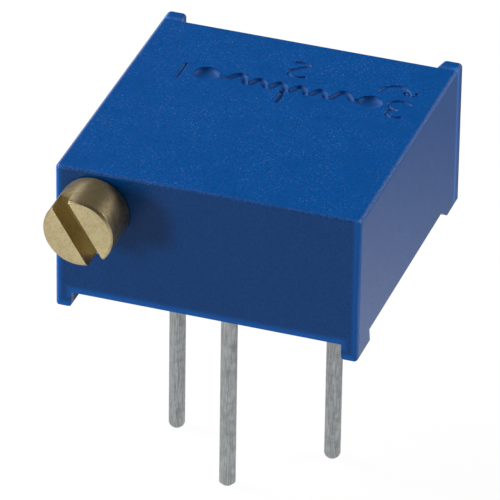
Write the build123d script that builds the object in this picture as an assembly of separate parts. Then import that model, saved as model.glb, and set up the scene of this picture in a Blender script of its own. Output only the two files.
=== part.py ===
from build123d import *
import os
from math import acos, asin, atan, cos, degrees, pi, radians, sin, tan

# Multiturn trimmer potentiometer for a circuit board, adjusted from the side.
# A slotted brass screw carries a worm, the worm turns a toothed wheel, and the wheel carries a sprung
# wiper over a horseshoe of resistive film on a ceramic plate.
# Millimetres. The origin is on the axis of pin 1, where the feet stand on the board.
# +X runs along the front face towards pin 3, +Y runs back from the screw head, and +Z is up.

# Housing
BODY_WIDTH = 9.53
BODY_DEPTH = 9.53
BODY_HEIGHT = 4.33
WALL = 0.45
OUTER_ROUND = 0.14
TOP_ROUND = 0.12
INNER_ROUND = 0.22
FOOT_HEIGHT = 0.50
FOOT_ROUND = 0.10
FRONT_FOOT_WIDTH = 0.52
FRONT_FOOT_LENGTH = 1.20
FRONT_FOOT_SLANT = 0.10
BACK_FOOT_LENGTH = 0.60
BACK_FOOT_SLANT = 0.70
RIB_WIDTH = 0.70
RIB_DEPTH = 0.50
RIB_TAPER = 0.10

# Pins
PIN_PITCH = 2.54
PIN_RADIUS = 0.255
PIN_LENGTH = 6.75
PIN_HEAD_RADIUS = 0.36
PIN_HEAD_HEIGHT = 0.12
PIN_NECK_WIDTH = 0.54
PIN_NECK_DEPTH = 0.15
TIP_BEVEL = 0.10
TIP_SOFTENING = 0.05

# Adjustment screw
SCREW_FROM_EDGE = 1.27
HEAD_RADIUS = 1.095
HEAD_LENGTH = 1.52
HEAD_GAP = 0.05
HEAD_CHAMFER = 0.07
SLOT_WIDTH = 0.58
SLOT_DEPTH = 0.76
SLOT_ANGLE = 32.0
SEAL_GROOVE_START = 0.36
SEAL_SECTION = 0.30
SEAL_GROOVE_WIDTH = 0.38
SEAL_CHAMFER = 0.10
CLIP_NECK_START = 1.20
CLIP_NECK_WIDTH = 0.36
CLIP_NECK_RADIUS = 0.44
SHOULDER_WIDTH = 0.34
WORM_TURNS = 3.5
TAIL_LENGTH = 1.75

# Retaining clip and the blocks that carry the screw
CLIP_THICKNESS = 0.26
CLIP_LEG_TOP = 0.56
CLIP_CORNER = 0.20
BLOCK_WALL = 0.30
POST_SIZE = 1.20

# Toothed wheel
TEETH = 30
PRESSURE_ANGLE = 20.0
WORM_ADDENDUM = 1.0
WHEEL_ADDENDUM = 0.55
BACKLASH = 0.035
WHEEL_THICKNESS = 1.00
WHEEL_RIM = 0.55
WHEEL_WEB_RECESS = 0.22
PIVOT_RADIUS = 0.70
HUB_WALL = 0.42
HUB_CLEARANCE = 0.03
SCREW_TURNS = 25

# End stops, one on the wheel and one under the roof
STOP_FROM_HUB = 0.35
STOP_WIDTH = 0.62
STOP_HALF_ANGLE = 10.0
STOP_SPARE_ANGLE = 2.0
STOP_GAP = 0.06

# Wiper
WIPER_HEIGHT = 0.76
PLATE_THICKNESS = 0.10
PLATE_FROM_ROOT = 0.40
PLATE_FROM_PIVOT = 0.10
STUD_WIDTH = 0.32
STUD_STAND = 0.07
FINGER_THICKNESS = 0.05
FINGER_WIDTH = 0.11
FINGER_SPACING = 0.16
TRACK_BRUSH_WIDTH = 0.45
COLLECTOR_BRUSH_WIDTH = 0.30
TRACK_FINGER_REACH = 1.25
COLLECTOR_FINGER_REACH = 1.30
FINGER_FOOT = 0.34
FINGER_WELD = 0.27
FINGER_TOE = 0.14
TOE_LIFT = 0.10
BRUSH_GAP = 0.015

# Ceramic plate, its films and the sealing compound
SUBSTRATE_THICKNESS = 0.635
SUBSTRATE_CLEARANCE = 0.06
FILM = 0.04
FILM_GAP = 0.15
TRACK_WIDTH = 0.50
TERMINATION_WIDTH = 0.38
LAND_RADIUS = 0.47
COLLECTOR_RADIUS = 0.48
COLLECTOR_TRACE = 0.34
SOLDER_HEIGHT = 0.09
POTTING_RECESS = 0.15

# Clearances
RUNNING = 0.03
SEAT = 0.02
PIN_HOLE_CLEARANCE = 0.03

# Places worked out from the sizes
LEFT = PIN_PITCH - BODY_WIDTH / 2
RIGHT = LEFT + BODY_WIDTH
FRONT = -BODY_DEPTH / 2
BACK = BODY_DEPTH / 2
RIB_BACK = BACK + RIB_DEPTH
BOTTOM = FOOT_HEIGHT
TOP = BOTTOM + BODY_HEIGHT
CEILING = TOP - WALL
INNER_WIDTH = BODY_WIDTH - 2 * WALL
INNER_DEPTH = BODY_DEPTH - 2 * WALL
SCREW_X = LEFT + SCREW_FROM_EDGE
SCREW_Z = TOP - SCREW_FROM_EDGE
WHEEL_X = PIN_PITCH
CENTRE_DISTANCE = WHEEL_X - SCREW_X
WHEEL_BOTTOM = SCREW_Z - WHEEL_THICKNESS / 2
WHEEL_TOP = SCREW_Z + WHEEL_THICKNESS / 2
SUBSTRATE_TOP = WHEEL_BOTTOM - WIPER_HEIGHT
SUBSTRATE_BOTTOM = SUBSTRATE_TOP - SUBSTRATE_THICKNESS
FILM_TOP = SUBSTRATE_TOP + FILM
PIN_PLACES = {1: (0, 0), 2: (PIN_PITCH, -PIN_PITCH), 3: (2 * PIN_PITCH, 0)}

# Worm and wheel: the screw's bar just clears the wall and the roof, and the module follows from it
SHAFT_RADIUS = SCREW_FROM_EDGE - WALL - 2 * RUNNING
MODULE = 2 * (CENTRE_DISTANCE - SHAFT_RADIUS) / (TEETH - 2 * WORM_ADDENDUM)
WORM_PITCH_RADIUS = SHAFT_RADIUS - WORM_ADDENDUM * MODULE
WHEEL_PITCH_RADIUS = MODULE * TEETH / 2
WHEEL_RADIUS = WHEEL_PITCH_RADIUS + WHEEL_ADDENDUM * MODULE
WHEEL_ROOT_RADIUS = WHEEL_PITCH_RADIUS - WORM_ADDENDUM * MODULE - RUNNING
CORE_RADIUS = WORM_PITCH_RADIUS - WHEEL_ADDENDUM * MODULE - RUNNING
LEAD = pi * MODULE
TOOTH_THICKNESS = LEAD / 2 - BACKLASH
WORM_LENGTH = WORM_TURNS * LEAD
LEAD_ANGLE = atan(LEAD / (2 * pi * WORM_PITCH_RADIUS))
WHEEL_TWIST = degrees(WHEEL_THICKNESS * tan(LEAD_ANGLE) / WHEEL_PITCH_RADIUS)
WIPER_TRAVEL = 360 * SCREW_TURNS / TEETH
HUB_RADIUS = PIVOT_RADIUS + RUNNING + HUB_WALL
STOP_INNER_RADIUS = HUB_RADIUS + STOP_FROM_HUB

# Screw supports and clip, measured back from the front face
SCREW_BLOCK_END = FRONT + CLIP_NECK_START + CLIP_NECK_WIDTH + SHOULDER_WIDTH
TAIL_BLOCK_START = BACK - WALL - TAIL_LENGTH
CLIP_MIDDLE = FRONT + CLIP_NECK_START + CLIP_NECK_WIDTH / 2
CLIP_HALF_WIDTH = SCREW_FROM_EDGE - WALL - 2 * SEAT

# Wiper plate and films, which lie between the wheel's axis and the pins
PLATE_OUTER_RADIUS = WHEEL_ROOT_RADIUS - PLATE_FROM_ROOT
PLATE_INNER_RADIUS = PIVOT_RADIUS + PLATE_FROM_PIVOT
TRACK_OUTER_RADIUS = PIN_PITCH - LAND_RADIUS - FILM_GAP
TRACK_RADIUS = TRACK_OUTER_RADIUS - TRACK_WIDTH / 2
TRACK_INNER_RADIUS = TRACK_OUTER_RADIUS - TRACK_WIDTH
COLLECTOR_HALF_ANGLE = degrees(asin((COLLECTOR_TRACE / 2 + FILM_GAP) / TRACK_INNER_RADIUS))
TERMINATION_ANGLE = 180 - WIPER_TRAVEL / 2 - COLLECTOR_HALF_ANGLE


# Plain forms

def block(left, right, front, back, bottom, top):
    """A rectangular block between two opposite corners."""
    size = (right - left, back - front, top - bottom)
    return Pos(left, front, bottom) * Box(*size, align=(Align.MIN, Align.MIN, Align.MIN))


def upright(radius, bottom, top, x=WHEEL_X, y=0.0):
    """An upright cylinder, on the wheel's axis unless another place is given."""
    post = Cylinder(radius, top - bottom, align=(Align.CENTER, Align.CENTER, Align.MIN))
    return Pos(x, y, bottom) * post


def along_screw(radius, front, back):
    """A cylinder on the screw's axis."""
    bar = Cylinder(radius, back - front, align=(Align.CENTER, Align.CENTER, Align.MIN))
    return Pos(SCREW_X, front, SCREW_Z) * Rot(X=-90) * bar


def polar(radius, angle):
    """A point at a radius and an angle in radians."""
    return Vector(radius * cos(angle), radius * sin(angle))


def sector(inner, outer, middle, half_angle, bottom, top):
    """A block cut from a ring about the wheel's axis. Angles are in degrees, with 90 towards the back."""
    start = middle - half_angle
    end = middle + half_angle
    outline = Wire([
        CenterArc((0, 0), outer, start, end - start).edge(),
        Line(polar(outer, radians(end)), polar(inner, radians(end))).edge(),
        CenterArc((0, 0), inner, start, end - start).edge(),
        Line(polar(inner, radians(start)), polar(outer, radians(start))).edge(),
    ])
    return Pos(WHEEL_X, 0, bottom) * extrude(make_face(outline), top - bottom)


def cavity(bottom, top, clearance=0.0):
    """The inside of the housing between two heights, drawn in by a clearance."""
    outline = RectangleRounded(
        INNER_WIDTH - 2 * clearance, INNER_DEPTH - 2 * clearance, INNER_ROUND - clearance)
    return Pos(WHEEL_X, 0, bottom) * extrude(outline, top - bottom)


# Housing

def foot(left, width, corners):
    """A foot from its outline seen from the right, rounded along its lower edges."""
    side = Plane((left, 0, 0), x_dir=(0, 1, 0), z_dir=(1, 0, 0)) * make_face(Polyline(*corners, close=True))
    solid = extrude(side, width)
    return fillet(solid.edges().filter_by(Axis.Y).group_by(Axis.Z)[0], FOOT_ROUND)


def outside():
    """The outside with a tapered rib at each end of the back, cut away under the body between four feet."""
    right_rib = [(RIGHT, RIB_BACK), (RIGHT - RIB_WIDTH + RIB_TAPER, RIB_BACK), (RIGHT - RIB_WIDTH, BACK)]
    left_rib = [(LEFT + RIB_WIDTH, BACK), (LEFT + RIB_WIDTH - RIB_TAPER, RIB_BACK), (LEFT, RIB_BACK)]
    plan = Polyline((LEFT, FRONT), (RIGHT, FRONT), *right_rib, *left_rib, close=True)
    form = extrude(make_face(plan), TOP)
    corners = form.edges().filter_by(Axis.Z).group_by(Axis.Y)
    form = fillet(corners[0] + corners[-1], OUTER_ROUND)
    form = fillet(form.faces().sort_by(Axis.Z)[-1].edges(), TOP_ROUND)

    end = FRONT + FRONT_FOOT_LENGTH
    front_side = [(FRONT, 0), (end, 0), (end - FRONT_FOOT_SLANT, FOOT_HEIGHT), (FRONT, FOOT_HEIGHT)]
    start = BACK - BACK_FOOT_LENGTH
    back_side = [(RIB_BACK, 0), (start, 0), (start - BACK_FOOT_SLANT, FOOT_HEIGHT), (RIB_BACK, FOOT_HEIGHT)]
    kept = block(LEFT, RIGHT, FRONT, RIB_BACK, BOTTOM, TOP)
    for left in (LEFT, RIGHT - FRONT_FOOT_WIDTH):
        kept += foot(left, FRONT_FOOT_WIDTH, front_side)
    for left in (LEFT, RIGHT - RIB_WIDTH):
        kept += foot(left, RIB_WIDTH, back_side)
    return form & kept


def screw_block():
    """The block in the front left corner that carries the screw's shaft and its clip."""
    right = SCREW_X + CLIP_HALF_WIDTH + BLOCK_WALL
    return block(LEFT + WALL, right, FRONT + WALL, SCREW_BLOCK_END, SUBSTRATE_TOP, CEILING)


def tail_block():
    """The block in the back left corner that carries the screw's tail."""
    right = SCREW_X + CORE_RADIUS + RUNNING + BLOCK_WALL
    return block(LEFT + WALL, right, TAIL_BLOCK_START, BACK - WALL, SUBSTRATE_TOP, CEILING)


def housing():
    shell = outside()

    # The inside, with blocks for the screw and posts that the ceramic plate lies against
    shell -= cavity(BOTTOM, CEILING)
    shell += screw_block() + tail_block()
    for front in (FRONT + WALL, BACK - WALL - POST_SIZE):
        right = RIGHT - WALL
        shell += block(right - POST_SIZE, right, front, front + POST_SIZE, SUBSTRATE_TOP, CEILING)

    # Pivot and end stop for the wheel
    shell += upright(PIVOT_RADIUS, WHEEL_BOTTOM, CEILING)
    shell += sector(STOP_INNER_RADIUS, STOP_INNER_RADIUS + STOP_WIDTH, -90, STOP_HALF_ANGLE,
                    WHEEL_TOP + STOP_GAP, CEILING)

    # Bores for the screw and the slot that takes its clip from below
    shell -= along_screw(SHAFT_RADIUS + RUNNING, FRONT, SCREW_BLOCK_END)
    shell -= along_screw(CORE_RADIUS + RUNNING, TAIL_BLOCK_START, BACK - WALL)
    half_width = CLIP_HALF_WIDTH + SEAT
    half_depth = CLIP_THICKNESS / 2 + SEAT
    return shell - block(SCREW_X - half_width, SCREW_X + half_width, CLIP_MIDDLE - half_depth,
                         CLIP_MIDDLE + half_depth, SUBSTRATE_TOP, SCREW_Z + CLIP_LEG_TOP + SEAT)


# Adjustment screw with its seal and clip

def worm():
    """One left-hand thread with straight flanks, swept along a helix and sunk a little into the core."""
    flank = tan(radians(PRESSURE_ANGLE))
    inner = CORE_RADIUS - RUNNING
    crest = TOOTH_THICKNESS / 2 - (SHAFT_RADIUS - WORM_PITCH_RADIUS) * flank
    root = TOOTH_THICKNESS / 2 + (WORM_PITCH_RADIUS - inner) * flank
    corners = [(inner, -root), (SHAFT_RADIUS, -crest), (SHAFT_RADIUS, crest), (inner, root)]
    profile = Polyline(*corners, close=True)
    helix = Helix(LEAD, WORM_LENGTH, WORM_PITCH_RADIUS, lefthand=True)
    thread = sweep(Plane.XZ * make_face(profile), path=helix, is_frenet=True)

    # The thread is turned so that a gap faces the wheel halfway along
    thread = Rot(Z=180 + 180 * WORM_TURNS) * thread
    return Pos(SCREW_X, -WORM_LENGTH / 2, SCREW_Z) * Rot(X=-90) * thread


def adjustment_screw():
    face = FRONT - HEAD_LENGTH
    head = along_screw(HEAD_RADIUS, face, FRONT - HEAD_GAP)
    head = chamfer(head.edges().group_by(Axis.Y)[0], HEAD_CHAMFER)
    slot = Pos(SCREW_X, face, SCREW_Z) * Rot(Y=-SLOT_ANGLE) * Box(
        SLOT_WIDTH, 2 * SLOT_DEPTH, 3 * HEAD_RADIUS)
    neck = FRONT + CLIP_NECK_START
    shoulder = neck + CLIP_NECK_WIDTH
    shaft = along_screw(SHAFT_RADIUS, FRONT - HEAD_GAP, shoulder + SHOULDER_WIDTH)
    groove = FRONT + SEAL_GROOVE_START
    shaft -= along_screw(SHAFT_RADIUS, groove, groove + SEAL_GROOVE_WIDTH)
    shaft += along_screw(SHAFT_RADIUS - SEAL_SECTION, groove, groove + SEAL_GROOVE_WIDTH)
    shaft -= along_screw(SHAFT_RADIUS, neck, shoulder)
    shaft += along_screw(CLIP_NECK_RADIUS, neck, shoulder)
    core = along_screw(CORE_RADIUS, shoulder + SHOULDER_WIDTH, BACK - WALL - RUNNING)
    core = chamfer(core.edges().group_by(Axis.Y)[-1], HEAD_CHAMFER)
    return head - slot + shaft + core + worm()


def shaft_seal():
    """A soft ring in the screw's groove, rounded where it meets the bore."""
    inner = SHAFT_RADIUS - SEAL_SECTION
    outer = SHAFT_RADIUS + RUNNING / 2
    middle = FRONT + SEAL_GROOVE_START + SEAL_GROOVE_WIDTH / 2
    width = SEAL_GROOVE_WIDTH - 2 * SEAT
    ring = along_screw(outer, middle - width / 2, middle + width / 2)
    ring -= along_screw(inner, middle - width / 2, middle + width / 2)
    rim = ring.edges().filter_by(GeomType.CIRCLE).sort_by(lambda edge: edge.radius)[-2:]
    return chamfer(rim, SEAL_CHAMFER)


def retaining_clip():
    """A flat steel fork that goes up round the neck of the screw and is held in by the ceramic plate."""
    gap = CLIP_NECK_RADIUS + SEAT
    foot = SCREW_Z - SUBSTRATE_TOP - SEAT
    outline = Pos(0, -foot) * Rectangle(
        2 * CLIP_HALF_WIDTH, CLIP_LEG_TOP + foot, align=(Align.CENTER, Align.MIN))
    outline -= Circle(gap)
    outline -= Rectangle(2 * gap, CLIP_LEG_TOP, align=(Align.CENTER, Align.MIN))
    outline = fillet(outline.vertices().group_by(Axis.Y)[0], CLIP_CORNER)
    place = Plane((SCREW_X, CLIP_MIDDLE, SCREW_Z), x_dir=(1, 0, 0), z_dir=(0, -1, 0))
    return extrude(place * outline, CLIP_THICKNESS / 2, both=True)


# Toothed wheel

def involute(angle):
    return tan(angle) - angle


def tooth_half_angle(radius):
    """Half the angle that a tooth spans at a radius, with involute flanks above the base circle."""
    base = WHEEL_PITCH_RADIUS * cos(radians(PRESSURE_ANGLE))
    at_pitch = TOOTH_THICKNESS / (2 * WHEEL_PITCH_RADIUS)
    roll = acos(min(1.0, base / radius))
    return at_pitch + involute(radians(PRESSURE_ANGLE)) - involute(roll)


def tooth_outline():
    """One tooth about the X axis and the gap that follows it, from the first root point on."""
    base = WHEEL_PITCH_RADIUS * cos(radians(PRESSURE_ANGLE))
    radii = (base, (base + WHEEL_RADIUS) / 2, WHEEL_RADIUS)
    flank = [(radius, tooth_half_angle(radius)) for radius in radii]
    root_angle = tooth_half_angle(base)
    tip_angle = tooth_half_angle(WHEEL_RADIUS)
    next_root = 2 * pi / TEETH - root_angle
    return [
        Line(polar(WHEEL_ROOT_RADIUS, -root_angle), polar(base, -root_angle)).edge(),
        Spline([polar(radius, -angle) for radius, angle in flank]).edge(),
        Line(polar(WHEEL_RADIUS, -tip_angle), polar(WHEEL_RADIUS, tip_angle)).edge(),
        Spline([polar(radius, angle) for radius, angle in reversed(flank)]).edge(),
        Line(polar(base, root_angle), polar(WHEEL_ROOT_RADIUS, root_angle)).edge(),
        Line(polar(WHEEL_ROOT_RADIUS, root_angle), polar(WHEEL_ROOT_RADIUS, next_root)).edge(),
    ]


def worm_gear():
    """The wheel with its left-hand helical teeth, hub, thin web, end stop and two studs for the wiper."""
    turns = [360 / TEETH * index for index in range(TEETH)]
    outline = Wire([edge.rotate(Axis.Z, turn) for turn in turns for edge in tooth_outline()])
    blank = Solid.extrude_linear_with_rotation(
        Face(outline), center=(0, 0, 0), normal=(0, 0, WHEEL_THICKNESS), angle=WHEEL_TWIST)

    # Halfway up, a tooth points straight at the screw
    blank = (Rot(Z=180 - WHEEL_TWIST / 2) * blank).mirror(Plane.XZ)
    wheel = Pos(WHEEL_X, 0, WHEEL_BOTTOM) * blank

    wheel -= upright(WHEEL_ROOT_RADIUS - WHEEL_RIM, WHEEL_TOP - WHEEL_WEB_RECESS, WHEEL_TOP)
    wheel += upright(HUB_RADIUS, WHEEL_TOP - WHEEL_WEB_RECESS, CEILING - HUB_CLEARANCE)

    lug_half_angle = 180 - WIPER_TRAVEL / 2 - STOP_HALF_ANGLE - STOP_SPARE_ANGLE
    wheel += sector(STOP_INNER_RADIUS, STOP_INNER_RADIUS + STOP_WIDTH, 90, lug_half_angle,
                    WHEEL_TOP - WHEEL_WEB_RECESS, CEILING - STOP_GAP)
    wheel += studs(STUD_WIDTH, WHEEL_BOTTOM - PLATE_THICKNESS - STUD_STAND)
    return wheel - upright(PIVOT_RADIUS + RUNNING, WHEEL_BOTTOM, CEILING)


# Wiper

def studs(width, bottom):
    """Two square studs that hold the wiper plate, left and right of the wheel's axis."""
    radius = (PLATE_INNER_RADIUS + PLATE_OUTER_RADIUS) / 2
    half = width / 2
    places = [WHEEL_X - radius, WHEEL_X + radius]
    return [block(x - half, x + half, -half, half, bottom, WHEEL_BOTTOM) for x in places]


def contact_spring():
    """The stamped plate under the wheel that the contact fingers are welded to."""
    bottom = WHEEL_BOTTOM - PLATE_THICKNESS
    plate = upright(PLATE_OUTER_RADIUS, bottom, WHEEL_BOTTOM)
    plate -= upright(PLATE_INNER_RADIUS, bottom, WHEEL_BOTTOM)
    return plate - studs(STUD_WIDTH + 2 * SEAT, bottom)


def fingers(width, reach):
    """Bent contact fingers, as many as the width holds, reaching along +X from one foot to the origin."""
    top = WHEEL_BOTTOM - PLATE_THICKNESS - FINGER_THICKNESS
    touch = FILM_TOP + BRUSH_GAP
    bend = [(-reach, top), (FINGER_FOOT - reach, top), (0, touch), (FINGER_TOE, touch + TOE_LIFT)]
    lifted = [(x, z + FINGER_THICKNESS) for x, z in reversed(bend)]
    side = Plane.XZ * make_face(Polyline(*bend, *lifted, close=True))
    gaps = int((width - FINGER_WIDTH) / FINGER_SPACING)
    comb = Part()
    for index in range(gaps + 1):
        y = (index - gaps / 2) * FINGER_SPACING
        comb += Pos(0, y, 0) * extrude(side, FINGER_WIDTH / 2, both=True)
    half_width = (gaps * FINGER_SPACING + FINGER_WIDTH) / 2
    foot = block(-reach, FINGER_WELD - reach, -half_width, half_width, top, top + FINGER_THICKNESS)
    return comb + foot


def track_brush():
    return Pos(WHEEL_X, TRACK_RADIUS, 0) * fingers(TRACK_BRUSH_WIDTH, TRACK_FINGER_REACH)


def collector_brush():
    comb = fingers(COLLECTOR_BRUSH_WIDTH, COLLECTOR_FINGER_REACH)
    return Pos(WHEEL_X, 0, 0) * Rot(Z=90) * comb


# Ceramic plate with its films

def element_substrate():
    plate = cavity(SUBSTRATE_BOTTOM, SUBSTRATE_TOP, SUBSTRATE_CLEARANCE)
    for x, y in PIN_PLACES.values():
        plate -= upright(PIN_RADIUS + PIN_HOLE_CLEARANCE, SUBSTRATE_BOTTOM, SUBSTRATE_TOP, x, y)
    return plate


def resistive_track():
    return sector(TRACK_INNER_RADIUS, TRACK_OUTER_RADIUS, 90, WIPER_TRAVEL / 2, SUBSTRATE_TOP, FILM_TOP)


def land(number):
    """The round film round a pin."""
    x, y = PIN_PLACES[number]
    return upright(LAND_RADIUS, SUBSTRATE_TOP, FILM_TOP, x, y)


def film_hole(number):
    x, y = PIN_PLACES[number]
    return upright(PIN_RADIUS + PIN_HOLE_CLEARANCE, SUBSTRATE_TOP, FILM_TOP, x, y)


def end_termination(number, side):
    """The film from one end of the track round to its pin. Side 1 is the right and -1 the left."""
    inner = TRACK_OUTER_RADIUS + FILM_GAP
    outer = inner + TERMINATION_WIDTH
    half_pad = TERMINATION_ANGLE / 2
    pad_middle = 90 - side * (WIPER_TRAVEL / 2 + half_pad)
    film = sector(TRACK_INNER_RADIUS, outer, pad_middle, half_pad, SUBSTRATE_TOP, FILM_TOP)
    half_strip = (WIPER_TRAVEL / 2 - 90) / 2
    pin_angle = 90 - side * 90
    film += sector(inner, outer, pin_angle - side * half_strip, half_strip, SUBSTRATE_TOP, FILM_TOP)
    return film + land(number) - film_hole(number)


def collector():
    """The film from the middle of the wheel to pin 2, through the gap in the track."""
    half = COLLECTOR_TRACE / 2
    film = upright(COLLECTOR_RADIUS, SUBSTRATE_TOP, FILM_TOP) + land(2)
    film += block(WHEEL_X - half, WHEEL_X + half, PIN_PLACES[2][1], 0, SUBSTRATE_TOP, FILM_TOP)
    return film - film_hole(2)


# Pins

def pin(number):
    """A round pin with a square neck that cannot turn in the compound, and a head that lies on the film.

    The outer pins have a softened tip. Pin 2 is cut and bevelled.
    """
    x, y = PIN_PLACES[number]
    shank = upright(PIN_RADIUS, -PIN_LENGTH, FILM_TOP, x, y)
    shank = chamfer(shank.edges().group_by(Axis.Z)[0], TIP_BEVEL)
    if number != 2:
        shank = chamfer(shank.edges().filter_by(GeomType.CIRCLE).group_by(Axis.Z)[1], TIP_SOFTENING)
    return shank + pin_neck(number) + upright(PIN_HEAD_RADIUS, FILM_TOP, FILM_TOP + PIN_HEAD_HEIGHT, x, y)


def pin_neck(number):
    x, y = PIN_PLACES[number]
    half = PIN_NECK_WIDTH / 2
    bottom = BOTTOM + POTTING_RECESS + PIN_NECK_DEPTH
    return block(x - half, x + half, y - half, y + half, bottom, SUBSTRATE_BOTTOM)


def solder_joint(number):
    """A coned ring of solder between a pin's head and its film."""
    x, y = PIN_PLACES[number]
    rim = PIN_HEAD_RADIUS + SEAT
    cone = Cone(LAND_RADIUS, rim, SOLDER_HEIGHT, align=(Align.CENTER, Align.CENTER, Align.MIN))
    return Pos(x, y, FILM_TOP) * cone - upright(PIN_HEAD_RADIUS, FILM_TOP, FILM_TOP + SOLDER_HEIGHT, x, y)


def potting():
    """The sealing compound that closes the housing under the ceramic plate and grips the pins."""
    filling = cavity(BOTTOM + POTTING_RECESS, SUBSTRATE_BOTTOM)
    for number, (x, y) in PIN_PLACES.items():
        filling -= upright(PIN_RADIUS, BOTTOM, SUBSTRATE_BOTTOM, x, y) + pin_neck(number)
    return filling


NODES = {
    "housing": housing(),
    "adjustment_screw": adjustment_screw(),
    "shaft_seal": shaft_seal(),
    "retaining_clip": retaining_clip(),
    "worm_gear": worm_gear(),
    "contact_spring": contact_spring(),
    "track_brush": track_brush(),
    "collector_brush": collector_brush(),
    "element_substrate": element_substrate(),
    "resistive_track": resistive_track(),
    "collector": collector(),
    "end_termination_1": end_termination(1, -1),
    "end_termination_3": end_termination(3, 1),
    "potting": potting(),
}
for number in PIN_PLACES:
    NODES[f"pin_{number}"] = pin(number)
    NODES[f"solder_joint_{number}"] = solder_joint(number)

os.makedirs("parts", exist_ok=True)
for name, shape in NODES.items():
    export_step(shape, f"parts/{name}.step")
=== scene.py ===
import math

import bmesh
import bpy
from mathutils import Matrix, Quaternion, Vector, noise


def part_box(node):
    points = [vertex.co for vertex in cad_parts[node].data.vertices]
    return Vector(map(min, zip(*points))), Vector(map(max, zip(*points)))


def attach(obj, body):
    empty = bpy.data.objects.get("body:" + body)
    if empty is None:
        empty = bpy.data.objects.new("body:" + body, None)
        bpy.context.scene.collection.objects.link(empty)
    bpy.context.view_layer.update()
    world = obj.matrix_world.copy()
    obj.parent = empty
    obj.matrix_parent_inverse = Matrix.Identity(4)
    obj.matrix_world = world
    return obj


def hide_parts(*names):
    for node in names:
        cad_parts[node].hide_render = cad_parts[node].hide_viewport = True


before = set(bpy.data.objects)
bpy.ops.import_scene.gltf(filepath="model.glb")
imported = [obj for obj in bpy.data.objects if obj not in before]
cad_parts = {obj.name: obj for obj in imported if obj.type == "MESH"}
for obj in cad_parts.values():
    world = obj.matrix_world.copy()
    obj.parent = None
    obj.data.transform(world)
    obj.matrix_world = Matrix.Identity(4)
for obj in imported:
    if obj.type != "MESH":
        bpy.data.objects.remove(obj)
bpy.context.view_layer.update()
MM = 0.001


# The view. A long lens stands 190 mm in front of the trimmer, a little to its right
# and above it, so that the sides run nearly parallel.
VIEW_AZIMUTH = math.radians(18.52)
VIEW_ELEVATION = math.radians(31.40)
VIEW_ROLL = math.radians(0.88)
VIEW_DISTANCE = 191.02
VIEW_AIM = Vector((2.42, -0.34, 0.32))
LENS_LENGTH = 454

sight = Vector((
    -math.sin(VIEW_AZIMUTH) * math.cos(VIEW_ELEVATION),
    math.cos(VIEW_AZIMUTH) * math.cos(VIEW_ELEVATION),
    -math.sin(VIEW_ELEVATION),
))
lens = bpy.data.cameras.new("camera")
lens.lens = LENS_LENGTH
lens.clip_start = 0.01
lens.clip_end = 20
camera = bpy.data.objects.new("camera", lens)
bpy.context.scene.collection.objects.link(camera)
camera.location = (VIEW_AIM - sight * VIEW_DISTANCE) * MM
camera.rotation_mode = "QUATERNION"
camera.rotation_quaternion = sight.to_track_quat("-Z", "Y") @ Quaternion((0, 0, 1), VIEW_ROLL)
bpy.context.scene.camera = camera
bpy.context.scene.view_settings.view_transform = "Standard"


# The light. The main soft box stands at the trimmer's left, and a weaker one behind it at
# the right. A small one is low at its front left. Above the white table the room is dim.
def soft_box(name, place, size, power):
    lamp = bpy.data.lights.new(name, "AREA")
    lamp.shape = "SQUARE"
    lamp.size = size * MM
    lamp.energy = power
    box = bpy.data.objects.new(name, lamp)
    bpy.context.scene.collection.objects.link(box)
    box.location = Vector(place) * MM
    box.rotation_mode = "QUATERNION"
    box.rotation_quaternion = (VIEW_AIM - Vector(place)).to_track_quat("-Z", "Y")


soft_box("main_box", (-240, 20, 180), 130, 0.92)
soft_box("right_box", (225, 125, 130), 150, 0.54)
soft_box("front_box", (-215, -240, 36), 80, 0.28)


def feed(entry, value):
    """Gives a node's entry a link or a plain value."""
    if isinstance(value, Reading):
        entry.id_data.links.new(value.socket, entry)
    else:
        entry.default_value = value


def pick(sockets, name):
    """The socket of that identifier or name."""
    return next(s for s in sockets if name in (s.identifier, s.name))


class Reading:
    """One socket of a finish, so that a pattern can be written as a sum."""

    def __init__(self, socket):
        self.socket = socket

    def worked(self, operation, *values):
        node = self.socket.id_data.nodes.new("ShaderNodeMath")
        node.operation = operation
        for entry, value in zip(node.inputs, values):
            feed(entry, value)
        return Reading(node.outputs[0])

    def __add__(self, other):
        return self.worked("ADD", self, other)

    def __radd__(self, other):
        return self.worked("ADD", other, self)

    def __sub__(self, other):
        return self.worked("SUBTRACT", self, other)

    def __rsub__(self, other):
        return self.worked("SUBTRACT", other, self)

    def __mul__(self, other):
        return self.worked("MULTIPLY", self, other)

    def __rmul__(self, other):
        return self.worked("MULTIPLY", other, self)

    def __pow__(self, other):
        return self.worked("POWER", self, other)

    def size(self):
        return self.worked("ABSOLUTE", self)

    def wave(self):
        return self.worked("SINE", self)

    def least(self, other):
        return self.worked("MINIMUM", self, other)

    def most(self, other):
        return self.worked("MAXIMUM", self, other)


class Finish:
    """A tree of shader nodes and the patterns in it."""

    def __init__(self, tree):
        self.tree = tree

    def node(self, kind, settings, values, result):
        """Adds a node, its settings first, then its values. Returns one of its results."""
        node = self.tree.nodes.new(kind)
        for name, setting in settings.items():
            setattr(node, name, setting)
        for name, value in values.items():
            feed(pick(node.inputs, name), value)
        return Reading(pick(node.outputs, result))

    def ease(self, value, low, high):
        """0 below low, 1 above high, and a soft step between."""
        span = {"From Min": low, "From Max": high, "Value": value}
        soft = {"interpolation_type": "SMOOTHSTEP"}
        return self.node("ShaderNodeMapRange", soft, span, "Result")

    def tint(self, factor, under, over):
        """One colour laid over another."""
        colours = {
            "Factor_Float": factor,
            "A_Color": under if isinstance(under, Reading) else (*under, 1),
            "B_Color": over if isinstance(over, Reading) else (*over, 1),
        }
        return self.node("ShaderNodeMix", {"data_type": "RGBA"}, colours, "Result_Color")


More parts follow.
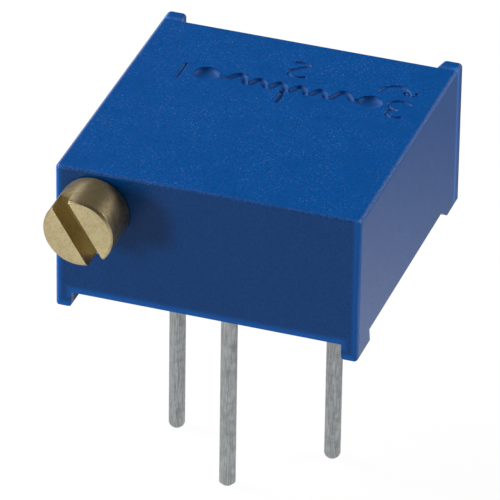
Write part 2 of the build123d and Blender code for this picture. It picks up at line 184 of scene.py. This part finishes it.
# A mirror finish sees the room's wall white near the floor and dark above. At the far
# left the white reaches higher.
ROOM_LIGHT = 0.10
ROOM_ZENITH = 0.02
WALL_EDGE = (0.10, 0.32)
FAR_LEFT = -0.33
LEFT_RISE = 3

room = bpy.data.worlds.new("white_room")
bpy.context.scene.world = room
room.use_nodes = True
air = Finish(room.node_tree)
seen = air.node("ShaderNodeLightPath", {}, {}, "Is Camera Ray")
mirrored = air.node("ShaderNodeLightPath", {}, {}, "Is Glossy Ray").most(
    air.node("ShaderNodeLightPath", {}, {}, "Is Transmission Ray")
)
outward = air.node("ShaderNodeTexCoord", {}, {}, "Generated")
height = air.node("ShaderNodeSeparateXYZ", {}, {"Vector": outward}, "Z")
across = air.node("ShaderNodeSeparateXYZ", {}, {"Vector": outward}, "X")
beyond = LEFT_RISE * (across - FAR_LEFT).least(0)
wall = 1 - (1 - ROOM_ZENITH) * air.ease(height + beyond, *WALL_EDGE)
shine = mirrored * wall + (1 - mirrored) * ROOM_LIGHT
feed(room.node_tree.nodes["Background"].inputs["Strength"], seen + (1 - seen) * shine)
room.node_tree.nodes["Background"].inputs["Color"].default_value = (1, 1, 1, 1)


# The table. One wide white sheet under the pins' tips. It shows white to the lens, takes
# the trimmer's soft shadow, and is mirrored a little dimmer where it lies behind it.
TABLE_REACH = 3000
TABLE_HEIGHT = -6.75
TABLE_DIM = (-6, 24)
TABLE_DIMMED = 0.8
TABLE_GREY = (0.42, 0.42, 0.42)
TABLE_GLOW = 1.09
GLOW_SHARE = 0.88


def paint(name, colour, roughness, metallic=0, specular=0.5, coat=0):
    """A finish with one shader, and what is the same all over it."""
    material = bpy.data.materials.new(name)
    material.use_nodes = True
    shader = material.node_tree.nodes["Principled BSDF"]
    shader.inputs["Base Color"].default_value = (*colour, 1)
    shader.inputs["Roughness"].default_value = roughness
    shader.inputs["Metallic"].default_value = metallic
    shader.inputs["Specular IOR Level"].default_value = specular
    shader.inputs["Coat Weight"].default_value = coat
    finish = Finish(material.node_tree)
    finish.material = material
    finish.shader = shader
    finish.place = finish.node("ShaderNodeTexCoord", {}, {}, "Object")
    return finish


sheet = paint("table_white", TABLE_GREY, 0.9, specular=0)
seen = sheet.node("ShaderNodeLightPath", {}, {}, "Is Camera Ray")
mirrored = sheet.node("ShaderNodeLightPath", {}, {}, "Is Glossy Ray").most(
    sheet.node("ShaderNodeLightPath", {}, {}, "Is Transmission Ray")
)
weave = {"Vector": sheet.place, "Scale": 900, "Detail": 4}
fibre = sheet.node("ShaderNodeTexNoise", {}, weave, "Fac")
feed(sheet.shader.inputs["Roughness"], 0.85 + 0.1 * fibre)
depth = sheet.node("ShaderNodeSeparateXYZ", {}, {"Vector": sheet.place}, "Y")
behind = TABLE_DIMMED * mirrored * sheet.ease(depth, TABLE_DIM[0] * MM, TABLE_DIM[1] * MM)
feed(sheet.shader.inputs["Base Color"], sheet.tint(behind, TABLE_GREY, (0, 0, 0)))
white = {"Color": (1, 1, 1, 1), "Strength": TABLE_GLOW}
glow = sheet.node("ShaderNodeEmission", {}, white, "Emission")
halves = {
    "Fac": GLOW_SHARE * seen.most(mirrored - behind),
    "Shader": Reading(sheet.shader.outputs[0]),
    "Shader_001": glow,
}
both = sheet.node("ShaderNodeMixShader", {}, halves, "Shader")
feed(pick(sheet.tree.nodes["Material Output"].inputs, "Surface"), both)


def piece(name, mesh, finish):
    """A finished piece, at the origin, with its place in its mesh."""
    thing = bpy.data.objects.new(name, mesh)
    bpy.context.scene.collection.objects.link(thing)
    if finish:
        mesh.materials.clear()
        mesh.materials.append(finish.material)
    return thing


table_mesh = bpy.data.meshes.new("table")
reach = TABLE_REACH * MM
corners = [(-reach, -reach), (reach, -reach), (reach, reach), (-reach, reach)]
table_mesh.from_pydata([(*corner, TABLE_HEIGHT * MM) for corner in corners], [], [(0, 1, 2, 3)])
piece("table", table_mesh, sheet)


# The housing. One moulding of blue glass-filled plastic, open below, with a fine spark
# grain. Its pin numbers and the sign of the element are sunk in the top.
BLUE = (0.0006, 0.077, 0.318)
# This blue and the next are painted light: a highlight for the front's rim and a sheen for the
# outer edges.
BLUE_LIT = (0.003, 0.19, 0.78)
BLUE_EDGE_SHEEN = (0.15, 0.24, 0.52)
# Pale specks of the glass filler, which also stand for painted glints.
GLASS_SPECK_AND_GLINT = (0.06, 0.16, 0.43)
GRAIN_SIZE = 0.045
GRAIN_DEPTH = 0.006
MOTTLE_SIZE = 0.08
CLOUD_SIZE = 0.9
RIB_DEPTH = 0.5
HOUSING_CREASE = 38

moulding = paint("moulded_blue", BLUE, 0.3, specular=0.18)


def grain(finish, size, detail=3):
    """An even cloudy pattern whose lumps are about that size."""
    values = {"Vector": finish.place, "Scale": 1 / (size * MM), "Detail": detail}
    values["Roughness"] = 0.55
    return finish.node("ShaderNodeTexNoise", {}, values, "Fac")


def relief(finish, height, depth):
    """Turns a pattern into that many millimetres of relief."""
    values = {"Height": height, "Distance": depth * MM, "Strength": 1.0}
    return finish.node("ShaderNodeBump", {}, values, "Normal")


def sides(finish):
    """Where a point is, along each side."""
    values = {"Vector": finish.place}
    return [finish.node("ShaderNodeSeparateXYZ", {}, values, side) for side in "XYZ"]


# The outer edges get a painted pale sheen, and the front's rim a painted highlight, lighter than
# its middle.
block_low, block_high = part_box("housing")
x, y, z = sides(moulding)
PAINTED_EDGE_WIDTH = 0.09 * MM
LIT_WIDTH = 0.28 * MM
SKIRT = 0.5 * MM
FOOT_WIDTH = 0.7 * MM
side_gap = (x - block_low.x).least(block_high.x - x).size()
front_gap = (y - block_low.y).least(block_high.y - RIB_DEPTH * MM - y).size()
top_gap = block_high.z - z
skirt_gap = (z - SKIRT).size().most((FOOT_WIDTH - side_gap) * 0.6).least(z)
on_front = 1 - moulding.ease(front_gap, 0.5 * PAINTED_EDGE_WIDTH, 1.4 * PAINTED_EDGE_WIDTH)
lit = on_front * (1 - moulding.ease(side_gap.least(skirt_gap), 0.25 * LIT_WIDTH, LIT_WIDTH))
on_side = 1 - moulding.ease(side_gap, 0.6 * PAINTED_EDGE_WIDTH, 1.4 * PAINTED_EDGE_WIDTH)
near_top = 1 - moulding.ease(top_gap, 0.4 * PAINTED_EDGE_WIDTH, 1.3 * PAINTED_EDGE_WIDTH)
edge_sheen = near_top * (on_side + 0.3 * on_front).least(1)
on_top = moulding.ease(z, block_high.z - 0.3 * MM, block_high.z)
spark = grain(moulding, GRAIN_SIZE)
cloud = grain(moulding, CLOUD_SIZE)
mottle = grain(moulding, MOTTLE_SIZE)
# Glass specks, laid on more strongly on the top, where they also stand for painted glints.
speck_and_glint = moulding.ease(grain(moulding, GRAIN_SIZE, detail=1), 0.63, 0.72)
speck_and_glint = speck_and_glint * moulding.ease(cloud, 0.30, 0.60)
paler = tuple(c * 1.16 for c in BLUE)
darker = tuple(c * 0.74 for c in BLUE)
blue = moulding.tint(moulding.ease(cloud, 0.3, 0.7) * 0.35, BLUE, paler)
blue = moulding.tint(moulding.ease(mottle, 0.38, 0.62) * 0.6, blue, darker)
blue = moulding.tint(speck_and_glint * (0.25 + 0.55 * on_top), blue, GLASS_SPECK_AND_GLINT)
# Painted highlight: the front's rim is made a lighter blue than its middle.
blue = moulding.tint(lit * (0.45 + 0.5 * spark), blue, BLUE_LIT)
# Painted sheen: a pale broken line along the top's outer edges.
blue = moulding.tint(edge_sheen * moulding.ease(spark, 0.35, 0.6) * 0.8, blue, BLUE_EDGE_SHEEN)
feed(moulding.shader.inputs["Base Color"], blue)

# Below the top's level, away from the sides, are the grooves, which are duller.
inland = moulding.ease(side_gap.least(front_gap), 0.1 * MM, 0.3 * MM)
sunk = inland * moulding.ease(top_gap, 0.01 * MM, 0.06 * MM)
feed(moulding.shader.inputs["Roughness"], 0.16 + 0.12 * spark + 0.05 * cloud + 0.3 * sunk)
feed(moulding.shader.inputs["Normal"], relief(moulding, spark, GRAIN_DEPTH))

# The marks are grooves with round bottoms, left by ribs in the mould. They read from
# behind, so a figure's right hand lies to the left. Bends are a little wider than the
# groove's own radius, so that no groove folds into itself.
FIGURE_WIDTH = 0.15
FIGURE_DEPTH = 0.06
SIGN_WIDTH = 0.25
SIGN_DEPTH = 0.10
STROKE_BEND = 1.1
BEND_POINTS = 3
GROOVE_FACETS = 16
TOP = 4.83


def figure(strokes, right, near, width, tall):
    """A figure's strokes, given in a square of one, turned to read from behind."""
    return [[(right - u * width, near - v * tall) for u, v in stroke] for stroke in strokes]


def bow(middle_u, middle_v, wide, high, start, stop, steps=9):
    """Part of an oval, in degrees."""
    turns = [math.radians(start + (stop - start) * step / steps) for step in range(steps + 1)]
    return [(middle_u + wide * math.cos(a), middle_v + high * math.sin(a)) for a in turns]


ONE = [[(0.5, 1), (0.5, 0)]]
TWO = [bow(0.5, 0.72, 0.5, 0.28, 150, -35) + [(0.0, 0.0), (1.0, 0.0)]]
THREE = [bow(0.45, 0.76, 0.45, 0.24, 150, -90) + bow(0.45, 0.26, 0.55, 0.26, 90, -150)]
figures = figure(ONE, -0.42, 2.31, 0.34, 0.98)
figures += figure(TWO, 3.14, 3.50, 0.66, 0.86)
figures += figure(THREE, 6.60, 2.32, 0.66, 0.98)

# The element's sign: a lead from pin 1's dot, six teeth, a lead to pin 3's dot, and the
# wiper's tap. Beside figure 3 an arrow bends the way the wiper goes as the screw turns in.
TOOTH_PITCH = 0.64
TEETH_LEFT = 1.00
TEETH_HIGH = 2.42
TEETH_LOW = 1.46
LEAD_HEIGHT = 1.92
teeth = [(0.45, LEAD_HEIGHT), (TEETH_LEFT - 0.08, LEAD_HEIGHT - 0.05)]
for tooth in range(6):
    teeth.append((TEETH_LEFT + (tooth + 0.42) * TOOTH_PITCH, TEETH_HIGH))
    teeth.append((TEETH_LEFT + (tooth + 0.80) * TOOTH_PITCH, TEETH_LOW))
teeth[-1] = (TEETH_LEFT + 5.95 * TOOTH_PITCH, LEAD_HEIGHT)
sign = [teeth + [(5.20, LEAD_HEIGHT)], [(2.70, 1.70), (2.72, 0.98)]]
figures.append(bow(5.93, 2.56, 0.50, 0.60, 170, 12))
figures.append([(6.16, 2.88), (6.42, 2.64), (6.60, 2.96)])

DOTS = [(0.20, 1.92), (5.38, 1.97)]
DOT_RADIUS = 0.41
DOT_DEPTH = 0.18
BOWL_TURNS = (8, 26, 44, 62, 80)
END_WIDTH = 0.35


def narrowed(path, wide):
    """A stroke that gets narrower from a point near each end, and its radii."""
    first = min(0.4, wide / (path[1] - path[0]).length / 2)
    path.insert(1, path[0].lerp(path[1], first))
    last = min(0.4, wide / (path[-2] - path[-1]).length / 2)
    path.insert(-1, path[-1].lerp(path[-2], last))
    return path, [END_WIDTH * wide] + [wide / 2] * (len(path) - 2) + [END_WIDTH * wide]


runs = []
for stroke in figures:
    height = TOP - FIGURE_DEPTH + FIGURE_WIDTH / 2
    runs.append(narrowed([Vector((px, py, height)) for px, py in stroke], FIGURE_WIDTH))
for stroke in sign:
    height = TOP - SIGN_DEPTH + SIGN_WIDTH / 2
    runs.append(narrowed([Vector((px, py, height)) for px, py in stroke], SIGN_WIDTH))
for px, py in DOTS:
    levels = [math.radians(turn) for turn in BOWL_TURNS]
    bowl = [(px, py, TOP - DOT_DEPTH * math.cos(a)) for a in levels]
    radii = [DOT_RADIUS * math.sin(a) for a in levels]
    runs.append((bowl + [(px, py, TOP + DOT_DEPTH)], radii + [DOT_RADIUS]))

lines = bpy.data.curves.new("marks", "CURVE")
lines.dimensions = "3D"
for path, widths in runs:
    line = lines.splines.new("POLY")
    line.points.add(len(path) - 1)
    for point, spot, wide in zip(line.points, path, widths):
        point.co = (*(c * MM for c in spot), 1)
        point.radius = wide * MM
strokes = bpy.data.objects.new("marks", lines)
bpy.context.scene.collection.objects.link(strokes)


class Build:
    """A tree of geometry nodes with named inputs for its sizes."""

    def __init__(self, name, **inputs):
        self.tree = bpy.data.node_groups.new(name, "GeometryNodeTree")
        self.keys = {}
        new_socket = self.tree.interface.new_socket
        new_socket("Geometry", in_out="INPUT", socket_type="NodeSocketGeometry")
        for label, kind in inputs.items():
            socket = new_socket(label, in_out="INPUT", socket_type="NodeSocket" + kind)
            self.keys[label] = socket.identifier
        new_socket("Geometry", in_out="OUTPUT", socket_type="NodeSocketGeometry")
        self.given = self.tree.nodes.new("NodeGroupInput")
        self.made = self.tree.nodes.new("NodeGroupOutput")

    def input(self, label):
        return Reading(pick(self.given.outputs, label))

    def node(self, kind, settings, values, result):
        node = self.tree.nodes.new(kind)
        for name, setting in settings.items():
            setattr(node, name, setting)
        for name, value in values.items():
            feed(pick(node.inputs, name), value)
        return Reading(pick(node.outputs, result))

    def close(self, geometry):
        """Every tree ends in real meshes with the finish on them."""
        plain = self.node("GeometryNodeRealizeInstances", {}, {"Geometry": geometry}, "Geometry")
        values = {"Geometry": plain, "Material": self.input("Finish")}
        coated = self.node("GeometryNodeSetMaterial", {}, values, "Geometry")
        feed(self.made.inputs["Geometry"], coated)

    def run(self, name, mesh, **values):
        """The plain mesh object that the tree makes of a mesh."""
        source = bpy.data.objects.new(name + "_source", mesh)
        bpy.context.scene.collection.objects.link(source)
        modifier = source.modifiers.new(name, "NODES")
        modifier.node_group = self.tree
        for label, value in values.items():
            modifier[self.keys[label]] = value
        bpy.context.view_layer.update()
        ready = source.evaluated_get(bpy.context.evaluated_depsgraph_get())
        made = bpy.data.meshes.new_from_object(ready)
        bpy.data.objects.remove(source)
        made.name = name
        return piece(name, made, None)


def merged(node):
    """A CAD node's mesh with its loose triangles joined."""
    shape = bmesh.new()
    shape.from_mesh(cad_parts[node].data)
    bmesh.ops.remove_doubles(shape, verts=shape.verts, dist=1e-7)
    mesh = bpy.data.meshes.new(node + "_joined")
    shape.to_mesh(mesh)
    shape.free()
    return mesh


sinking = Build("sunk_marks", Strokes="Object", Facets="Int", Bend="Float", Finish="Material")
drawn = sinking.node("GeometryNodeObjectInfo", {}, {"Object": sinking.input("Strokes")}, "Geometry")
width = sinking.node("GeometryNodeInputRadius", {}, {}, "Radius")
eased = sinking.node(
    "GeometryNodeFilletCurve",
    {"mode": "POLY"},
    {
        "Curve": drawn,
        "Count": BEND_POINTS,
        "Radius": width * sinking.input("Bend"),
        "Limit Radius": True,
    },
    "Curve",
)
circle = {"Resolution": sinking.input("Facets"), "Radius": 1.0}
ring = sinking.node("GeometryNodeCurvePrimitiveCircle", {}, circle, "Curve")
swept = {"Curve": eased, "Profile Curve": ring, "Scale": width, "Fill Caps": True}
beads = sinking.node("GeometryNodeCurveToMesh", {}, swept, "Mesh")
cut = sinking.node(
    "GeometryNodeMeshBoolean",
    {"operation": "DIFFERENCE", "solver": "EXACT"},
    {"Mesh 1": sinking.input("Geometry"), "Mesh 2": beads, "Self Intersection": True},
    "Mesh",
)
sinking.close(cut)
housing = sinking.run(
    "housing_marked",
    merged("housing"),
    Strokes=strokes,
    Facets=GROOVE_FACETS,
    Bend=STROKE_BEND,
    Finish=moulding.material,
)
bpy.data.objects.remove(strokes)


def flattened(thing):
    """Joins the triangles of each flat face."""
    shape = bmesh.new()
    shape.from_mesh(thing.data)
    flat = math.radians(0.3)
    bmesh.ops.dissolve_limit(shape, angle_limit=flat, verts=shape.verts, edges=shape.edges)
    shape.to_mesh(thing.data)
    shape.free()


def smoothed(thing, angle):
    """Smooth rounds between flat faces, with sharp edges kept."""
    thing.data.shade_smooth()
    thing.data.set_sharp_from_angle(angle=math.radians(angle))
    evened = thing.modifiers.new("evened", "WEIGHTED_NORMAL")
    evened.keep_sharp = True
    evened.weight = 100


flattened(housing)
smoothed(housing, HOUSING_CREASE)
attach(housing, "case")
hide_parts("housing")


# The adjustment screw. Turned from brass bar: a slotted head in front, a smooth neck in
# the housing's bore and the worm behind it. The tool leaves fine rings on the head.
BRASS = (0.51, 0.43, 0.24)
BRASS_DARK = (0.25, 0.17, 0.08)
HEAD_RADIUS = 1.095
SCREW_AXIS = (-0.955, 3.56)
RING_PITCH = 0.035


def coat(node, finish):
    """Puts a finish on a node that keeps its shape."""
    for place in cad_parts[node].material_slots:
        place.material = finish.material


brass = paint("turned_brass", BRASS, 0.34, metallic=1)
x, y, z = sides(brass)
off_x = x - SCREW_AXIS[0] * MM
off_z = z - SCREW_AXIS[1] * MM
radius = (off_x * off_x + off_z * off_z) ** 0.5
rings = (radius * (2 * math.pi / (RING_PITCH * MM))).wave()
pits = grain(brass, 0.035)
stain = brass.ease(grain(brass, 0.35, detail=4), 0.42, 0.72)
turned = brass.ease(radius, 0.93 * HEAD_RADIUS * MM, 0.99 * HEAD_RADIUS * MM)
# Tarnish at random, plus a painted shade that darkens the whole barrel towards brown.
tarnish_and_shade = (stain * (0.25 + 0.35 * turned) + turned * 0.40).least(1)
yellow = brass.tint(tarnish_and_shade, BRASS, BRASS_DARK)
yellow = brass.tint(brass.ease(pits, 0.54, 0.66) * 0.55, yellow, BRASS_DARK)
feed(brass.shader.inputs["Base Color"], yellow)
feed(brass.shader.inputs["Roughness"], 0.28 + 0.12 * pits + 0.08 * stain - 0.06 * turned)
feed(brass.shader.inputs["Metallic"], 1 - 0.28 * turned)
feed(brass.shader.inputs["Normal"], relief(brass, rings * 0.35 + pits, 0.004))
coat("adjustment_screw", brass)


# The shaft seal and its clip. A ring of red silicone rubber is pressed round the screw's
# neck, and a stamped steel fork behind it keeps the screw from coming out.
rubber = paint("silicone_red", (0.52, 0.10, 0.05), 0.62, specular=0.3)
bloom = grain(rubber, 0.12, detail=4)
red = rubber.tint(bloom * 0.4, (0.50, 0.09, 0.045), (0.62, 0.20, 0.13))
feed(rubber.shader.inputs["Base Color"], red)
feed(rubber.shader.inputs["Roughness"], 0.52 + 0.2 * bloom)
feed(rubber.shader.inputs["Normal"], relief(rubber, grain(rubber, 0.05), 0.004))
coat("shaft_seal", rubber)


def drawn_lines(finish, across, along, direction):
    """A pattern of long scratches along x, y or z."""
    stretch = [1 / (across * MM)] * 3
    stretch["xyz".index(direction)] = 1 / (along * MM)
    both = {"Vector": finish.place, "Vector_001": stretch}
    pulled = finish.node("ShaderNodeVectorMath", {"operation": "MULTIPLY"}, both, "Vector")
    values = {"Vector": pulled, "Scale": 1.0, "Detail": 3}
    return finish.node("ShaderNodeTexNoise", {}, values, "Fac")


steel = paint("stamped_steel", (0.60, 0.61, 0.63), 0.34, metallic=1)
brushing = drawn_lines(steel, 0.02, 0.8, "z")
bright = steel.tint(brushing, (0.52, 0.53, 0.55), (0.66, 0.67, 0.69))
feed(steel.shader.inputs["Base Color"], bright)
feed(steel.shader.inputs["Roughness"], 0.26 + 0.18 * brushing)
feed(steel.shader.inputs["Normal"], relief(steel, brushing, 0.003))
coat("retaining_clip", steel)


# The worm gear. A wheel of natural nylon with slanted teeth, which the screw's worm
# turns by one tooth for each turn. It carries the contact spring.
nylon = paint("natural_nylon", (0.76, 0.73, 0.65), 0.48, specular=0.4)
flow = grain(nylon, 0.5, detail=5)
ivory = nylon.tint(flow * 0.5, (0.78, 0.75, 0.67), (0.68, 0.64, 0.54))
feed(nylon.shader.inputs["Base Color"], ivory)
feed(nylon.shader.inputs["Roughness"], 0.42 + 0.14 * flow)
feed(nylon.shader.inputs["Normal"], relief(nylon, grain(nylon, 0.06), 0.003))
coat("worm_gear", nylon)


# The contact spring and its brushes. Stamped from rolled copper alloy strip; the brushes
# are its bent fingers, which run on the track and on the collector.
strip = paint("rolled_copper_alloy", (0.78, 0.58, 0.38), 0.3, metallic=1)
rolling = drawn_lines(strip, 0.015, 0.9, "x")
heat = strip.ease(grain(strip, 0.6, detail=2), 0.4, 0.75)
copper = strip.tint(heat * 0.5, (0.80, 0.61, 0.41), (0.66, 0.44, 0.26))
feed(strip.shader.inputs["Base Color"], copper)
feed(strip.shader.inputs["Roughness"], 0.22 + 0.16 * rolling)
feed(strip.shader.inputs["Normal"], relief(strip, rolling, 0.002))
for spring in ("contact_spring", "track_brush", "collector_brush"):
    coat(spring, strip)


# The element. A plate of white alumina, with a horseshoe of black resistive film, a
# silver collector in its middle and silver pads at its ends, all printed and fired.
ceramic = paint("fired_alumina", (0.78, 0.77, 0.74), 0.55, specular=0.4)
crystal = grain(ceramic, 0.025, detail=2)
chalk = ceramic.tint(crystal * 0.4, (0.80, 0.79, 0.76), (0.70, 0.68, 0.64))
feed(ceramic.shader.inputs["Base Color"], chalk)
feed(ceramic.shader.inputs["Roughness"], 0.45 + 0.2 * crystal)
feed(ceramic.shader.inputs["Normal"], relief(ceramic, crystal, 0.002))
coat("element_substrate", ceramic)

ink = paint("resistive_ink", (0.035, 0.035, 0.04), 0.3, specular=0.5)
glass = grain(ink, 0.04, detail=4)
black = ink.tint(ink.ease(glass, 0.45, 0.7), (0.028, 0.028, 0.032), (0.085, 0.085, 0.09))
feed(ink.shader.inputs["Base Color"], black)
feed(ink.shader.inputs["Roughness"], 0.2 + 0.3 * glass)
feed(ink.shader.inputs["Normal"], relief(ink, glass, 0.003))
coat("resistive_track", ink)

silver = paint("fired_silver", (0.70, 0.69, 0.66), 0.4, metallic=1)
pores = grain(silver, 0.035, detail=4)
pale = silver.tint(silver.ease(pores, 0.5, 0.75), (0.72, 0.71, 0.68), (0.48, 0.46, 0.42))
feed(silver.shader.inputs["Base Color"], pale)
feed(silver.shader.inputs["Roughness"], 0.3 + 0.28 * pores)
feed(silver.shader.inputs["Normal"], relief(silver, pores, 0.003))
for film in ("collector", "end_termination_1", "end_termination_3"):
    coat(film, silver)


# The pins and their solder. Drawn copper wire, dipped in tin, which has gone dull grey
# with fine lines along it. Each is soldered to its film and stands in the resin.
tin = paint("dull_tin", (0.33, 0.345, 0.35), 0.42, metallic=1)
lines_along = drawn_lines(tin, 0.03, 0.5, "z")
blotch = tin.ease(grain(tin, 0.22, detail=4), 0.38, 0.68)
grey = tin.tint(tin.ease(lines_along, 0.38, 0.66), (0.38, 0.395, 0.40), (0.235, 0.245, 0.25))
grey = tin.tint(blotch * 0.4, grey, (0.22, 0.23, 0.235))
feed(tin.shader.inputs["Base Color"], grey)
feed(tin.shader.inputs["Roughness"], 0.36 + 0.2 * blotch)
feed(tin.shader.inputs["Normal"], relief(tin, lines_along + 0.8 * grain(tin, 0.04), 0.006))
for pin in ("pin_1", "pin_2", "pin_3"):
    coat(pin, tin)

alloy = paint("set_solder", (0.66, 0.67, 0.69), 0.24, metallic=1)
frost = grain(alloy, 0.09, detail=5)
frosted = alloy.tint(frost * 0.5, (0.68, 0.69, 0.71), (0.48, 0.48, 0.49))
feed(alloy.shader.inputs["Base Color"], frosted)
feed(alloy.shader.inputs["Roughness"], 0.16 + 0.24 * frost)
feed(alloy.shader.inputs["Normal"], relief(alloy, frost, 0.006))
for joint in ("solder_joint_1", "solder_joint_2", "solder_joint_3"):
    coat(joint, alloy)


# The potting. Tan resin poured in from below, which closes the housing and holds the
# pins. Its skin creeps up the walls and the pins, and is a little wavy between them.
RESIN_STEP = 0.075
WALL_CREEP = 0.11
PIN_CREEP = 0.20
CREEP_REACH = 0.15
WAVE_HEIGHT = 0.03
WAVE_SCALE = 0.55
WAVE_MARGIN = 0.5
PIN_RADIUS = 0.255
PIN_PLACES = [(0, 0), (2.54, -2.54), (5.08, 0)]
RESIN_CREASE = 50


def specks(finish, spacing, size):
    """Small round dots, one to a cell."""
    values = {"Vector": finish.place, "Scale": 1 / (spacing * MM)}
    middle = finish.node("ShaderNodeTexVoronoi", {"feature": "F1"}, values, "Distance")
    return 1 - finish.ease(middle, size * 0.5, size)


resin = paint("tan_resin", (0.50, 0.41, 0.27), 0.32, specular=0.45, coat=0.25)
swirl = grain(resin, 1.4, detail=5)
filler = grain(resin, 0.05, detail=3)
tan = resin.tint(resin.ease(swirl, 0.3, 0.7), (0.53, 0.44, 0.29), (0.42, 0.33, 0.20))
tan = resin.tint(resin.ease(filler, 0.6, 0.72) * 0.5, tan, (0.68, 0.62, 0.48))
tan = resin.tint(specks(resin, 0.9, 0.06) * 0.7, tan, (0.22, 0.16, 0.09))
feed(resin.shader.inputs["Base Color"], tan)
feed(resin.shader.inputs["Roughness"], 0.26 + 0.16 * filler)
feed(resin.shader.inputs["Normal"], relief(resin, filler + 0.5 * swirl, 0.004))

low, high = (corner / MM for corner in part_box("potting"))
steps_x = round((high.x - low.x) / RESIN_STEP)
steps_y = round((high.y - low.y) / RESIN_STEP)
pour = bmesh.new()


def skin(px, py):
    """The height of the resin's lower face at a place."""
    wall_gap = min(px - low.x, high.x - px, py - low.y, high.y - py)
    pin_gap = min(max(math.dist((px, py), pin) - PIN_RADIUS, 0) for pin in PIN_PLACES)
    wave = WAVE_HEIGHT * noise.noise(Vector((px, py, 0.7)) * WAVE_SCALE)
    creep = WALL_CREEP * math.exp(-wall_gap / CREEP_REACH)
    creep += PIN_CREEP * math.exp(-pin_gap / CREEP_REACH)
    return low.z - creep + wave * min(1, wall_gap / WAVE_MARGIN)


rows = []
for row in range(steps_y + 1):
    py = low.y + (high.y - low.y) * row / steps_y
    line_x = [low.x + (high.x - low.x) * step / steps_x for step in range(steps_x + 1)]
    rows.append([pour.verts.new(Vector((px, py, skin(px, py))) * MM) for px in line_x])
for below, above in zip(rows, rows[1:]):
    for a, b, c, d in zip(below, below[1:], above[1:], above):
        pour.faces.new((a, d, c, b))
rim = rows[0] + [row[-1] for row in rows[1:-1]]
rim += rows[-1][::-1] + [row[0] for row in rows[-2:0:-1]]
lid = [pour.verts.new((corner.co.x, corner.co.y, high.z * MM)) for corner in rim]
for turn in range(len(rim)):
    pour.faces.new((rim[turn - 1], rim[turn], lid[turn], lid[turn - 1]))
pour.faces.new(lid)
bmesh.ops.recalc_face_normals(pour, faces=pour.faces)
poured = bpy.data.meshes.new("potting_resin")
pour.to_mesh(poured)
pour.free()
potting = piece("potting_resin", poured, resin)
smoothed(potting, RESIN_CREASE)
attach(potting, "case")
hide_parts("potting")
